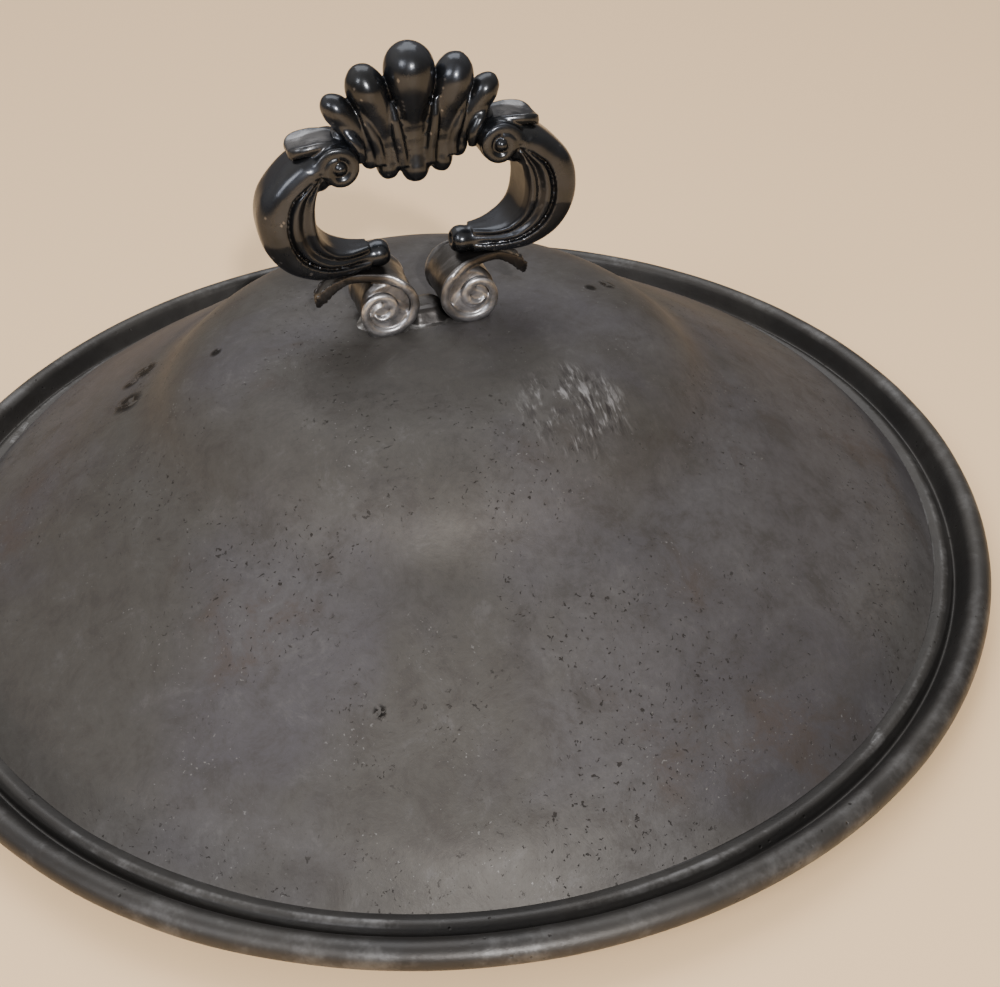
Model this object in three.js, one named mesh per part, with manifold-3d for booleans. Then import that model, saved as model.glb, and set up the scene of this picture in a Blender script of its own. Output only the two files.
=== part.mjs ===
// Domed dish cover in tarnished white metal: a raised crown, a sloping skirt, a rim moulding rolled over
// a wire, a locating bezel that the cover stands on, and a cast rococo handle held by two studs.
// Millimetres, +Z up. The origin is on the table, under the middle of the cover.
import * as THREE from 'three';
import { mergeVertices } from 'three/addons/utils/BufferGeometryUtils.js';
import Module from 'manifold-3d';

const wasm = await Module();
wasm.setup();

// Driving dimensions of the body
const RIM_RADIUS = 140;
const WALL = 1.2;
const GAP = 0.3;
const TURNS = 60;
const CROWN_TOP = 60.7;
const CROWN_CURVE = { r: 71.1, z: 40.1, power: 5.2 };
const TROUGH = { r: 74.6, z: 40 };
const SHELL_FOOT = { r: 128.4, z: 5 };

// Driving dimensions of the rim
const BEAD = { r: RIM_RADIUS - 2.9, z: 8, radius: 2.9, sheet: 1.1 };
const RIDGE = { r: 130, z: 5.1, radius: 1 };
const CHANNEL = { r: 132.6, z: 4.9 };
const WIRE_RADIUS = 1.5;
const BEZEL = { inner: 124, outer: 125.8, height: 3.2 };

// Driving dimensions of the handle. Heights in the handle are measured up from the crown.
const ARM_DEPTH = 15;
const RIB_DEPTH = 17.5;
const FOOT = { x: 9.7, h: 7.6, radius: 6.7, pitch: 2.4, squash: 0.93, depth: 16 };
const UPPER_EYE = { x: 18.2, h: 42.6, radius: 4, depth: 16 };
const CURL = { x: 10.6, h: 17.7, radius: 2.8, depth: 8 };
const PAD = { x: 16, y: 8.6, bottom: 0.3, height: 1.3 };
const LOBES = [
  { name: 'crest_lobe_centre', side: 0, foot: [0, 35.2], head: [0, 65.7], bulb: 5.6, neck: 2.6, drop: 3 },
  { name: 'crest_lobe_mid', side: 1, foot: [5.15, 37.6], head: [10.9, 61.3], bulb: 4.3, neck: 1.9, drop: 2.3 },
  { name: 'crest_lobe_outer', side: 1, foot: [9.6, 40.7], head: [17.9, 56], bulb: 3.05, neck: 1.5, drop: 1.9 },
];

// Driving dimensions of the fixing inside the crown
const STUD = { radius: 2, top: 60.8, bottom: 52 };
const PLATE = { radius: 18, bottom: 57.9, height: 1.3 };
const WASHER = { radius: 4.6, bottom: 56.7, height: 0.9 };
const NUT = { across: 7, bottom: 53.2, height: 3.2 };

const metals = {
  dome: { color: 0x85837f, roughness: 0.48, metalness: 0.85 },
  rim: { color: 0x8b8d92, roughness: 0.4, metalness: 0.85 },
  cast: { color: 0x5c5a58, roughness: 0.34, metalness: 0.85 },
  foot: { color: 0x908c88, roughness: 0.32, metalness: 0.85 },
  solder: { color: 0xb4b2ae, roughness: 0.3, metalness: 0.85 },
  iron: { color: 0x6a5f55, roughness: 0.6, metalness: 0.8 },
};

const cover = new THREE.Group();
cover.name = 'dish_cover';
const handle = new THREE.Group();
handle.position.z = CROWN_TOP;
cover.add(handle);

function addPiece(parent, name, geometry, metal) {
  const mesh = new THREE.Mesh(geometry, new THREE.MeshStandardMaterial(metals[metal]));
  mesh.name = name;
  parent.add(mesh);
  return mesh;
}

// Sides are built as mirror images, so a piece for the left has its x turned over.
const SIDES = [['left', -1], ['right', 1]];

// Revolves a closed (radius, height) outline about Z.
function revolve(outline, turns = TURNS) {
  const closed = outline.map(([r, z]) => new THREE.Vector2(r, z));
  if (outline[0][0] > 0 || outline.at(-1)[0] > 0) {
    closed.push(closed[0].clone());
  }
  return new THREE.LatheGeometry(closed, turns).rotateX(Math.PI / 2);
}

// Extrudes an (x, height) shape along Y, centred on the handle's middle plane.
function extrudeAcross(shape, depth, bevel, curveSegments = 10) {
  const geometry = new THREE.ExtrudeGeometry(shape, {
    depth: depth - 2 * bevel,
    bevelEnabled: bevel > 0,
    bevelThickness: bevel,
    bevelSize: bevel * 0.8,
    bevelOffset: -bevel * 0.8,
    bevelSegments: 2,
    curveSegments,
    steps: 1,
  });
  return geometry.rotateX(Math.PI / 2).translate(0, depth / 2 - bevel, 0);
}

// Extrudes an (x, y) shape upward from the given height.
function extrudeUp(shape, bottom, height, curveSegments = 12) {
  const geometry = new THREE.ExtrudeGeometry(shape, { depth: height, bevelEnabled: false, curveSegments });
  return geometry.translate(0, 0, bottom);
}

// Points on an arc about (cx, cy), from one angle to another, in degrees.
function arc(cx, cy, radius, from, to, count) {
  return Array.from({ length: count + 1 }, (_, i) => {
    const angle = THREE.MathUtils.degToRad(from + ((to - from) * i) / count);
    return [cx + radius * Math.cos(angle), cy + radius * Math.sin(angle)];
  });
}

function toManifold(geometry) {
  const bare = geometry.clone();
  bare.deleteAttribute('normal');
  bare.deleteAttribute('uv');
  const merged = mergeVertices(bare, 1e-4);
  return new wasm.Manifold(new wasm.Mesh({
    numProp: 3,
    vertProperties: new Float32Array(merged.attributes.position.array),
    triVerts: new Uint32Array(merged.index.array),
  }));
}

function fromManifold(solid) {
  const mesh = solid.getMesh();
  const geometry = new THREE.BufferGeometry();
  geometry.setAttribute('position', new THREE.BufferAttribute(mesh.vertProperties, 3));
  geometry.setIndex(new THREE.BufferAttribute(mesh.triVerts, 1));
  geometry.computeVertexNormals();
  return geometry;
}

// A point on the crown's convex outer face, at a radius.
function onCrown(r) {
  const { r: width, z, power } = CROWN_CURVE;
  return [r, z + (CROWN_TOP - z) * (1 - (r / width) ** power)];
}

// Evenly counted points on a smooth curve through (radius, height) points.
function smooth(points, count) {
  const curve = new THREE.SplineCurve(points.map(([r, z]) => new THREE.Vector2(r, z)));
  return curve.getPoints(count).map((point) => [point.x, point.y]);
}

// Turns an open outline of outer points, listed inward, into a sheet with the wall's thickness.
function sheet(outside) {
  const inside = outside.map(([r, z], i) => {
    const [r0, z0] = outside[Math.max(i - 1, 0)];
    const [r1, z1] = outside[Math.min(i + 1, outside.length - 1)];
    const length = Math.hypot(r1 - r0, z1 - z0);
    return [Math.max(r - (WALL * (z1 - z0)) / length, 0), z + (WALL * (r1 - r0)) / length];
  });
  return [inside, outside];
}

// Skirt: the long slope from the rim up to the trough.
function skirtShell() {
  const slope = [
    [SHELL_FOOT.r, SHELL_FOOT.z], [119, 13.7], [105, 22.2], [91, 31], [84, 35.2], [78.6, 38.1],
    [TROUGH.r + GAP / 2, TROUGH.z - 0.07],
  ];
  const [inside, outside] = sheet(smooth(slope, 12));
  inside[0] = [SHELL_FOOT.r - WALL, SHELL_FOOT.z];
  return revolve([...inside.reverse(), ...outside]);
}

// Crown: the raised top, whose steep side sweeps out into the trough and meets the skirt there.
function crownShell() {
  const edge = [TROUGH.r - GAP / 2, TROUGH.z + 0.08];
  const sweep = [edge, [70.8, 42.4], [67.4, 45.3], onCrown(64), onCrown(60.5)];
  const top = [56, 50.5, 43.5, 25, 0].map(onCrown);
  const [inside, outside] = sheet([...smooth(sweep, 6), ...top]);
  inside[inside.length - 1] = [0, CROWN_TOP - WALL];
  return pierce(revolve([...inside.reverse(), ...outside]));
}

// Bores the two stud holes through a piece.
function pierce(geometry) {
  let solid = toManifold(geometry);
  for (const x of [-FOOT.x, FOOT.x]) {
    const drill = new THREE.CylinderGeometry(STUD.radius + GAP, STUD.radius + GAP, 20, 16);
    drill.rotateX(Math.PI / 2).translate(x, 0, CROWN_TOP - 4);
    solid = solid.subtract(toManifold(drill));
  }
  return fromManifold(solid);
}

// Rim moulding: one sheet that makes the ridge and the channel, then rolls over the wire.
function rimMoulding() {
  const top = BEZEL.height + GAP + BEAD.sheet;
  return revolve([
    [BEZEL.inner + 0.6, BEZEL.height + GAP],
    [BEAD.r - BEAD.radius - 0.6, BEZEL.height + GAP],
    ...arc(BEAD.r, BEAD.z, BEAD.radius - BEAD.sheet, 168, -128, 7),
    ...arc(BEAD.r, BEAD.z, BEAD.radius, -128, 158, 9),
    [CHANNEL.r, CHANNEL.z],
    ...arc(RIDGE.r, RIDGE.z, RIDGE.radius, 20, 165, 3),
    [SHELL_FOOT.r + GAP, top],
    [BEZEL.inner + 0.6, top],
  ]);
}

function rimWire() {
  return new THREE.TorusGeometry(BEAD.r, WIRE_RADIUS, 6, TURNS).translate(0, 0, BEAD.z);
}

// Bezel: an upright band that drops inside the dish and carries the cover on a flat edge.
function locatingBezel() {
  return revolve([
    [BEZEL.inner, 0],
    [BEZEL.outer, 0],
    [BEZEL.outer, BEZEL.height],
    [BEZEL.inner, BEZEL.height],
  ]);
}

// Crest lobe: a bulb on a thin neck that ends in a small drop, turned about its own axis.
function crestLobe({ foot, head, bulb, neck, drop }, side) {
  const [dx, dh] = [head[0] - foot[0], head[1] - foot[1]];
  const length = Math.hypot(dx, dh);
  const profile = new THREE.SplineCurve([
    new THREE.Vector2(0.3, 0.02 * drop),
    new THREE.Vector2(drop * 0.8, drop * 0.45),
    new THREE.Vector2(drop, drop * 1.1),
    new THREE.Vector2(neck, length * 0.36),
    new THREE.Vector2(bulb * 0.86, length - bulb * 1.75),
    new THREE.Vector2(bulb, length - bulb),
    new THREE.Vector2(bulb * 0.72, length - bulb * 0.3),
    new THREE.Vector2(0.3, length - 0.02 * bulb),
  ]);
  const outline = profile.getPoints(14).map((point) => [point.x, point.y]);
  const lobe = revolve([[0, 0], ...outline, [0, length]], 14);
  lobe.scale(1, 1.2, 1);
  lobe.rotateY(side * Math.atan2(dx, dh));
  return lobe.translate(side * foot[0], 0, foot[1]);
}

// Ear: a flat-topped leaf that flicks outward over the upper scroll.
function earLeaf(side) {
  const shape = new THREE.Shape();
  shape.moveTo(side * 18, 48.8);
  shape.quadraticCurveTo(side * 20.5, 49, side * 26.6, 47.9);
  shape.quadraticCurveTo(side * 28.2, 47.4, side * 27.9, 45.9);
  shape.quadraticCurveTo(side * 27.5, 45.1, side * 26.4, 44.9);
  shape.quadraticCurveTo(side * 22, 47, side * 18.6, 47.1);
  shape.lineTo(side * 17.7, 47.7);
  return extrudeAcross(shape, 9, 0.4);
}

// The arm's outer and inner edges. Its three bands lie side by side between them.
function armEdges(side) {
  const toPoint = ([x, h]) => new THREE.Vector2(side * x, h);
  const outer = [
    [22.9, 45.3], [26.9, 44], [31.8, 40.6], [35.2, 36], [36.5, 30.3], [35.6, 24.3], [32.2, 19], [26.5, 16],
    [20, 15], [13.8, 15.4],
  ];
  const inner = [[22.9, 40.6], [23.8, 36], [24.2, 31], [23.6, 26.5], [21.3, 22.7], [17, 20.4], [13.8, 19.9]];
  return [new THREE.SplineCurve(outer.map(toPoint)), new THREE.SplineCurve(inner.map(toPoint))];
}

// One band of an arm, from one share of the way between the edges to another.
function armBand(side, from, to, depth, bevel) {
  const [outer, inner] = armEdges(side);
  const steps = 15;
  const near = [];
  const far = [];
  for (let i = 0; i <= steps; i += 1) {
    const a = outer.getPointAt(i / steps);
    const b = inner.getPointAt(i / steps);
    near.push(a.clone().lerp(b, from));
    far.unshift(a.clone().lerp(b, to));
  }
  return extrudeAcross(new THREE.Shape([...near, ...far]), depth, bevel);
}

// A round boss lying across the handle, with domed ends.
function crossBoss(side, { x, h, radius, depth }) {
  const half = depth / 2;
  const rounded = [
    [0, -half],
    [radius * 0.55, -half + radius * 0.06],
    [radius * 0.85, -half + radius * 0.25],
    [radius, -half + radius * 0.6],
  ];
  const mirrored = rounded.map(([r, y]) => [r, -y]).reverse();
  return revolve([...rounded, ...mirrored], 16).rotateX(Math.PI / 2).translate(side * x, 0, h);
}

// Foot scroll: a band that starts at the outer leaf, runs over the top and winds into the eye.
function footScroll(side) {
  const turn = (angle) => FOOT.radius - ((angle - 90) / 360) * FOOT.pitch;
  const at = (angle, radius) => {
    const radians = THREE.MathUtils.degToRad(angle);
    const x = FOOT.x + FOOT.squash * radius * Math.cos(radians);
    return new THREE.Vector2(side * x, FOOT.h + radius * Math.sin(radians));
  };
  const tailTop = [new THREE.Vector2(side * 20.8, 14), new THREE.Vector2(side * 15.5, 14.3)];
  const tailBottom = [new THREE.Vector2(side * 15.5, 12.4), new THREE.Vector2(side * 20.8, 12.8)];
  const outer = [];
  const inner = [];
  const steps = 26;
  const [start, end] = [90, 500];
  for (let i = 0; i <= steps; i += 1) {
    const angle = start + ((end - start) * i) / steps;
    const band = 1.9 - (0.6 * i) / steps;
    outer.push(at(angle, turn(angle)));
    inner.unshift(at(angle, turn(angle) - band));
  }
  return extrudeAcross(new THREE.Shape([...tailTop, ...outer, ...inner, ...tailBottom]), FOOT.depth, 0.4);
}

// Leaf drop: the small bud that hangs at the outer end of each foot scroll.
function leafDrop(side) {
  const bud = new THREE.SphereGeometry(2, 12, 8).scale(0.95, 2.2, 1.05);
  return bud.translate(side * 23.4, 0, 12.1);
}

function ovalShape(x, y) {
  return new THREE.Shape().absellipse(0, 0, x, y, 0, Math.PI * 2);
}

// Bridge: the waisted block that ties the two foot scrolls together.
function footBridge() {
  const [half, waist, bottom, top] = [3.3, 2.4, PAD.bottom + PAD.height + GAP, 6];
  const shape = new THREE.Shape();
  shape.moveTo(-half, bottom);
  shape.lineTo(half, bottom);
  shape.quadraticCurveTo(waist, (bottom + top) / 2, waist, top);
  shape.quadraticCurveTo(0, top - 2, -waist, top);
  shape.quadraticCurveTo(-waist, (bottom + top) / 2, -half, bottom);
  return extrudeAcross(shape, 13, 0.6, 5);
}

// Solder run: a thin collar of solder round the pad, where the casting meets the crown.
function solderRun() {
  const collar = ovalShape(PAD.x + 1.9, PAD.y + 1.9);
  collar.holes.push(ovalShape(PAD.x + GAP, PAD.y + GAP));
  return extrudeUp(collar, PAD.bottom, 0.7);
}

function roundWasher({ radius, bottom, height }) {
  const shape = new THREE.Shape().absarc(0, 0, radius, 0, Math.PI * 2);
  shape.holes.push(new THREE.Path().absarc(0, 0, STUD.radius + GAP, 0, Math.PI * 2));
  return extrudeUp(shape, bottom, height, 8);
}

function squareNut() {
  const half = NUT.across / 2;
  const corners = [[-half, -half], [half, -half], [half, half], [-half, half]];
  const shape = new THREE.Shape(corners.map(([x, y]) => new THREE.Vector2(x, y)));
  shape.holes.push(new THREE.Path().absarc(0, 0, STUD.radius + GAP, 0, Math.PI * 2));
  return extrudeUp(shape, NUT.bottom, NUT.height, 8);
}

function stud() {
  const length = STUD.top - STUD.bottom;
  const bar = new THREE.CylinderGeometry(STUD.radius, STUD.radius, length, 14).rotateX(Math.PI / 2);
  return bar.translate(0, 0, (STUD.top + STUD.bottom) / 2);
}

addPiece(cover, 'crown', crownShell(), 'dome');
addPiece(cover, 'skirt', skirtShell(), 'dome');
addPiece(cover, 'rim_moulding', rimMoulding(), 'rim');
addPiece(cover, 'rim_wire', rimWire(), 'iron');
addPiece(cover, 'locating_bezel', locatingBezel(), 'rim');

const plate = new THREE.CylinderGeometry(PLATE.radius, PLATE.radius, PLATE.height, 32).rotateX(Math.PI / 2);
addPiece(cover, 'crown_stiffener', pierce(plate.translate(0, 0, PLATE.bottom + PLATE.height / 2)), 'dome');

addPiece(handle, 'foot_pad', extrudeUp(ovalShape(PAD.x, PAD.y), PAD.bottom, PAD.height), 'foot');
addPiece(handle, 'foot_bridge', footBridge(), 'foot');
addPiece(handle, 'solder_run', solderRun(), 'solder');

for (const lobe of LOBES) {
  if (lobe.side === 0) {
    addPiece(handle, lobe.name, crestLobe(lobe, 0), 'cast');
  }
}

for (const [label, side] of SIDES) {
  for (const lobe of LOBES.filter((item) => item.side === 1)) {
    addPiece(handle, `${lobe.name}_${label}`, crestLobe(lobe, side), 'cast');
  }
  addPiece(handle, `ear_leaf_${label}`, earLeaf(side), 'cast');
  addPiece(handle, `upper_scroll_${label}`, crossBoss(side, UPPER_EYE), 'cast');
  addPiece(handle, `arm_outer_band_${label}`, armBand(side, 0, 0.4, ARM_DEPTH, 1), 'cast');
  addPiece(handle, `arm_rib_${label}`, armBand(side, 0.44, 0.76, RIB_DEPTH, 0.7), 'cast');
  addPiece(handle, `arm_inner_band_${label}`, armBand(side, 0.8, 1, ARM_DEPTH - 1, 0.3), 'cast');
  addPiece(handle, `arm_curl_${label}`, crossBoss(side, CURL), 'cast');
  addPiece(handle, `foot_scroll_${label}`, footScroll(side), 'foot');
  addPiece(handle, `foot_eye_${label}`, crossBoss(side, { ...FOOT, radius: 1.6, depth: FOOT.depth + 1 }), 'foot');
  addPiece(handle, `leaf_drop_${label}`, leafDrop(side), 'cast');
  addPiece(cover, `handle_stud_${label}`, stud(), 'iron').position.x = side * FOOT.x;
  addPiece(cover, `washer_${label}`, roundWasher(WASHER), 'iron').position.x = side * FOOT.x;
  addPiece(cover, `square_nut_${label}`, squareNut(), 'iron').position.x = side * FOOT.x;
}

export default cover;
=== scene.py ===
"""Looks of the domed dish cover: fine spun metal, a modelled cast handle, tarnish, light and camera.

Lengths inside the modelling code are millimetres, in the frame of the CAD model: +Z up, the origin on
the table under the middle of the cover. Handle shapes are drawn as (x, height over the crown).
"""
import math

import bpy
import numpy as np
import openvdb
from mathutils import Matrix, Vector, noise


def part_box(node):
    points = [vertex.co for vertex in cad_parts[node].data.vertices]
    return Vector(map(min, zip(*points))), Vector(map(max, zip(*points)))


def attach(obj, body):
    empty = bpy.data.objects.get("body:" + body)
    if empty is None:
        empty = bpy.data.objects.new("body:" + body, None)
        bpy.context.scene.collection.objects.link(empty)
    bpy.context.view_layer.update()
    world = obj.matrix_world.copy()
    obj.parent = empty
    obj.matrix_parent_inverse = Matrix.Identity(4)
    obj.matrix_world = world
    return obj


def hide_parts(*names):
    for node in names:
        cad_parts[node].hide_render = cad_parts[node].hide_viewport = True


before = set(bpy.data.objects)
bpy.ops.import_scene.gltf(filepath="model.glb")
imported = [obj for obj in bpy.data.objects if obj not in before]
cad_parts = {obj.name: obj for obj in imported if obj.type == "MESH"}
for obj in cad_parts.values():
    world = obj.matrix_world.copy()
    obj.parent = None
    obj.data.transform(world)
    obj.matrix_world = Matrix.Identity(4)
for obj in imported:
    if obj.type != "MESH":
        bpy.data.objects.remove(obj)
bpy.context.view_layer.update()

MM = 0.001
SIDES = (("left", -1), ("right", 1))


def mm_box(node):
    """Lowest and highest corner of a CAD node, in mm."""
    low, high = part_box(node)
    return np.array(low) / MM, np.array(high) / MM


# ---------------------------------------------------------------- driving sizes, mm
RIM_RADIUS = mm_box("rim_moulding")[1][0]
CROWN_TOP = mm_box("crown")[1][2]
SHELL_FOOT = (mm_box("skirt")[1][0], mm_box("skirt")[0][2])
WAIST = (71.1, 40.1)
BEZEL_TOP = mm_box("locating_bezel")[1][2]
BEZEL_INNER = 124.0
WALL = 1.2
GAP = 0.3
CROWN_POWER = 5.2
BEAD = {"r": RIM_RADIUS - 2.9, "z": 8.0, "radius": 2.9, "sheet": 1.1}
CHANNEL = (132.7, 4.8)
RIDGE = [(131.5, 5.4), (130.6, 6.1), (129.6, 6.35), (128.6, 6.1), (127.5, 5.7)]

# Marks of age on the dome, as ((x, y, z), size): dark crusts, and one scoured patch
CRUSTS = [((-68.7, 33.4, 38.9), 3.0), ((-73, 30.8, 37.8), 2.2), ((-74.4, 19.5, 38.7), 3.4)]
CRUSTS += [((-50.5, 5.4, 56.6), 1.3), ((49.1, 3.7, 57.2), 1.8), ((43.6, 1, 59), 1.2)]
CRUSTS += [((-35, -91, 27), 1.1), ((-46, -95, 25), 0.9), ((30, -101, 24.5), 1.0)]
SCOUR = ((22.5, -44.3, 57), 10)

HALF_DEPTH = 7.9
FOOT_EYE = np.array([11.5, 6.8])
UPPER_EYE = np.array([18.2, 42.9])


# ---------------------------------------------------------------- curves and lofts
def through(points, count):
    """count + 1 points, evenly spaced, on a smooth curve through the given points."""
    p = np.asarray(points, float)
    p = np.vstack([2 * p[0] - p[1], p, 2 * p[-1] - p[-2]])
    t = np.linspace(0, len(p) - 3, 40 * len(p))
    i = np.minimum(t.astype(int), len(p) - 4)
    u = (t - i)[:, None]
    a, b, c, d = p[i], p[i + 1], p[i + 2], p[i + 3]
    square, cube = 2 * a - 5 * b + 4 * c - d, 3 * b - a - 3 * c + d
    curve = 0.5 * (2 * b + (c - a) * u + square * u**2 + cube * u**3)
    along = np.concatenate([[0], np.cumsum(np.linalg.norm(np.diff(curve, axis=0), axis=1))])
    even = np.linspace(0, along[-1], count + 1)
    return np.stack([np.interp(even, along, curve[:, k]) for k in range(curve.shape[1])], axis=1)


def arc(centre, radius, start, end, count):
    """Points on an arc, angles in degrees."""
    angle = np.radians(np.linspace(start, end, count + 1))
    return np.stack([centre[0] + radius * np.cos(angle), centre[1] + radius * np.sin(angle)], axis=1)


def loft(rings):
    """Skin over closed rings of equal length, with a fan over each end: (points, quads, triangles)."""
    rings = np.asarray(rings, float)
    count, size = rings.shape[:2]
    index = np.arange(count * size).reshape(count, size)
    step = np.roll(index, -1, axis=1)
    quads = np.stack([index[:-1], step[:-1], step[1:], index[1:]], axis=-1).reshape(-1, 4)
    ends = [rings[0].mean(axis=0), rings[-1].mean(axis=0)]
    points = np.vstack([rings.reshape(-1, 3), ends])
    first = np.stack([np.full(size, count * size), step[0], index[0]], axis=-1)
    last = np.stack([np.full(size, count * size + 1), index[-1], step[-1]], axis=-1)
    return points, quads, np.vstack([first, last])


def ball(centre, radii):
    """An ellipsoid, as (x, y, height)."""
    lat = np.linspace(-np.pi / 2, np.pi / 2, 25)[1:-1]
    lon = np.linspace(0, 2 * np.pi, 36, endpoint=False)
    rings = [[(np.cos(a) * np.cos(b), np.cos(a) * np.sin(b), np.sin(a)) for b in lon] for a in lat]
    return loft(np.array(rings) * radii + centre)


def strand(points, radii, count=24):
    """A round strand through (x, y, height) points, with a radius at each."""
    path = through(points, count)
    share = np.linspace(0, 1, len(radii))
    radius = np.interp(np.linspace(0, 1, count + 1), share, radii)
    tangent = np.gradient(path, axis=0)
    tangent /= np.linalg.norm(tangent, axis=1)[:, None]
    side = np.cross(tangent, [0.0, 1.0, 0.0])
    side /= np.linalg.norm(side, axis=1)[:, None]
    up = np.cross(side, tangent)
    angle = np.linspace(0, 2 * np.pi, 16, endpoint=False)
    rings = [
        p + r * (np.outer(np.cos(angle), s) + np.outer(np.sin(angle), u))
        for p, r, s, u in zip(path, radius, side, up)
    ]
    return loft(rings)


def band(path, thickness, half_depth, lip=0.25):
    """A strip across the handle along a path of (x, height), a little thicker at both edges.

    thickness and half_depth are each (shares along the path, values there).
    """
    tangent = np.gradient(path, axis=0)
    tangent /= np.linalg.norm(tangent, axis=1)[:, None]
    normal = np.stack([-tangent[:, 1], tangent[:, 0]], axis=1)
    share = np.linspace(0, 1, len(path))
    thick, depth = np.interp(share, *thickness), np.interp(share, *half_depth)
    outline = [(-1, 0.15), (-0.985, 0.75), (-0.95, 1), (-0.88, 1), (-0.8, 0.7)]
    outline += [(0.8, 0.7), (0.88, 1), (0.95, 1), (0.985, 0.75), (1, 0.15)]
    outline = np.array(outline + [(y, -t) for y, t in reversed(outline)])
    rings = []
    for p, n, t, d in zip(path, normal, thick, depth):
        half = t / 2 + np.where(np.abs(outline[:, 1]) >= 1, lip, 0.0)
        flat = p + np.outer(outline[:, 1] * half, n)
        rings.append(np.stack([flat[:, 0], outline[:, 0] * d, flat[:, 1]], axis=1))
    return loft(rings)


def spiral(centre, angles, radii, count, squash=1.0):
    """Points on a spiral whose radius is given at a few angles, in degrees."""
    angle = np.linspace(angles[0], angles[-1], count + 1)
    radius = np.interp(angle, angles, radii)
    smooth = np.convolve(np.pad(radius, 4, mode="edge"), np.ones(9) / 9, mode="valid")
    turn = np.radians(angle)
    return centre + np.stack([squash * smooth * np.cos(turn), smooth * np.sin(turn)], axis=1)


def disc(centre, radius, half_depth, edge=0.6):
    """A round block across the handle, with softened edges."""
    profile = [(-half_depth, radius - edge), (-half_depth + edge, radius)]
    profile += [(-y, r) for y, r in reversed(profile)]
    angle = np.linspace(0, 2 * np.pi, 40, endpoint=False)
    rings = [
        np.stack([centre[0] + r * np.cos(angle), np.full(40, y), centre[1] + r * np.sin(angle)], axis=1)
        for y, r in profile
    ]
    return loft(rings)


# ---------------------------------------------------------------- clay
class Clay:
    """A lump of modelling clay: signed distances on a grid, in voxels, negative inside."""

    REACH = 7.0

    def __init__(self, low, high, step=0.28):
        self.low = np.array(low, float)
        self.step = step
        self.field = np.full(np.ceil((np.array(high) - self.low) / step).astype(int) + 1, self.REACH)

    def _distance(self, surface, side):
        """The surface as distances, and the part of the grid that they cover."""
        points, quads, triangles = surface
        points = (points * [side, 1, 1] - self.low) / self.step
        start = np.maximum(np.floor(points.min(axis=0) - self.REACH).astype(int), 0)
        stop = np.minimum(np.ceil(points.max(axis=0) + self.REACH).astype(int) + 1, self.field.shape)
        grid = openvdb.FloatGrid.createLevelSetFromPolygons(
            points.astype(np.float32),
            triangles=triangles.astype(np.uint32),
            quads=quads.astype(np.uint32),
            halfWidth=self.REACH,
        )
        values = np.full(stop - start, self.REACH, dtype=np.float32)
        grid.copyToArray(values, ijk=tuple(int(i) for i in start))
        return values.astype(float), tuple(slice(a, b) for a, b in zip(start, stop))

    def add(self, surface, blend=0.5, side=1):
        """Melts a shape in, with a fillet about as wide as blend."""
        distance, where = self._distance(surface, side)
        self.field[where] = self._soft_min(self.field[where], distance, blend)

    def cut(self, surface, blend=0.3, side=1):
        """Presses a shape's hollow into the lump."""
        distance, where = self._distance(surface, side)
        self.field[where] = -self._soft_min(-self.field[where], distance, blend)

    def _soft_min(self, a, b, blend):
        """The smaller of two distances, rounded off where they are close."""
        k = max(blend / self.step, 1e-3)
        h = np.clip(0.5 + 0.5 * (b - a) / k, 0, 1)
        return b + (a - b) * h - k * h * (1 - h)

    def skin(self, name, lift):
        """The lump's surface as a Blender object, raised by lift mm."""
        grid = openvdb.FloatGrid(self.REACH)
        grid.copyFromArray(self.field.astype(np.float32))
        points, quads = grid.convertToQuads(isovalue=0.0)
        points = points * self.step + self.low + [0, 0, lift]
        return new_object(name, points, quads.tolist())


# ---------------------------------------------------------------- Blender objects
def new_object(name, points, faces):
    """A smooth-shaded mesh object from points in mm."""
    mesh = bpy.data.meshes.new(name)
    mesh.from_pydata((np.asarray(points) * MM).tolist(), [], faces)
    mesh.validate()
    mesh.shade_smooth()
    piece = bpy.data.objects.new(name, mesh)
    bpy.context.scene.collection.objects.link(piece)
    return piece


def lathe(name, profile, turns):
    """A closed (radius, height) outline revolved about Z. Points on the axis become poles."""
    profile = np.asarray(profile, float)
    points, rows = [], []
    angle = np.linspace(0, 2 * np.pi, turns, endpoint=False)
    for r, z in profile:
        if r < 1e-6:
            rows.append([len(points)] * turns)
            points.append((0, 0, z))
        else:
            rows.append(list(range(len(points), len(points) + turns)))
            points.extend(zip(r * np.cos(angle), r * np.sin(angle), np.full(turns, z)))
    faces = []
    pairs = list(zip(rows, rows[1:] + rows[:1]))
    for low, high in pairs:
        if low[0] == low[1] and high[0] == high[1]:
            continue
        for i in range(turns):
            j = (i + 1) % turns
            faces.append(list(dict.fromkeys([low[i], low[j], high[j], high[i]])))
    return new_object(name, points, faces)


def weather(piece, layers, keep=None):
    """Moves a mesh's points along their normals by layered noise: (size mm, amount mm) per layer."""
    mesh = piece.data
    count = len(mesh.vertices)
    where = np.empty(count * 3)
    normal = np.empty(count * 3)
    mesh.vertices.foreach_get("co", where)
    mesh.vertices.foreach_get("normal", normal)
    where, normal = where.reshape(-1, 3), normal.reshape(-1, 3)
    shift = np.zeros(count)
    for size, amount in layers:
        scale = 1 / (size * MM)
        shift += amount * np.array([noise.noise(Vector(p * scale)) for p in where])
    if keep is not None:
        shift *= keep(where / MM)
    mesh.vertices.foreach_set("co", (where + normal * shift[:, None] * MM).ravel())
    mesh.update()


def settle(piece, material, slot, *nodes):
    """Gives a finished piece its material and body, and hides the CAD nodes that it stands for. The slot
    argument is not used.
    """
    piece.data.materials.clear()
    piece.data.materials.append(material)
    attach(piece, "root")
    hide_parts(*nodes)


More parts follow.
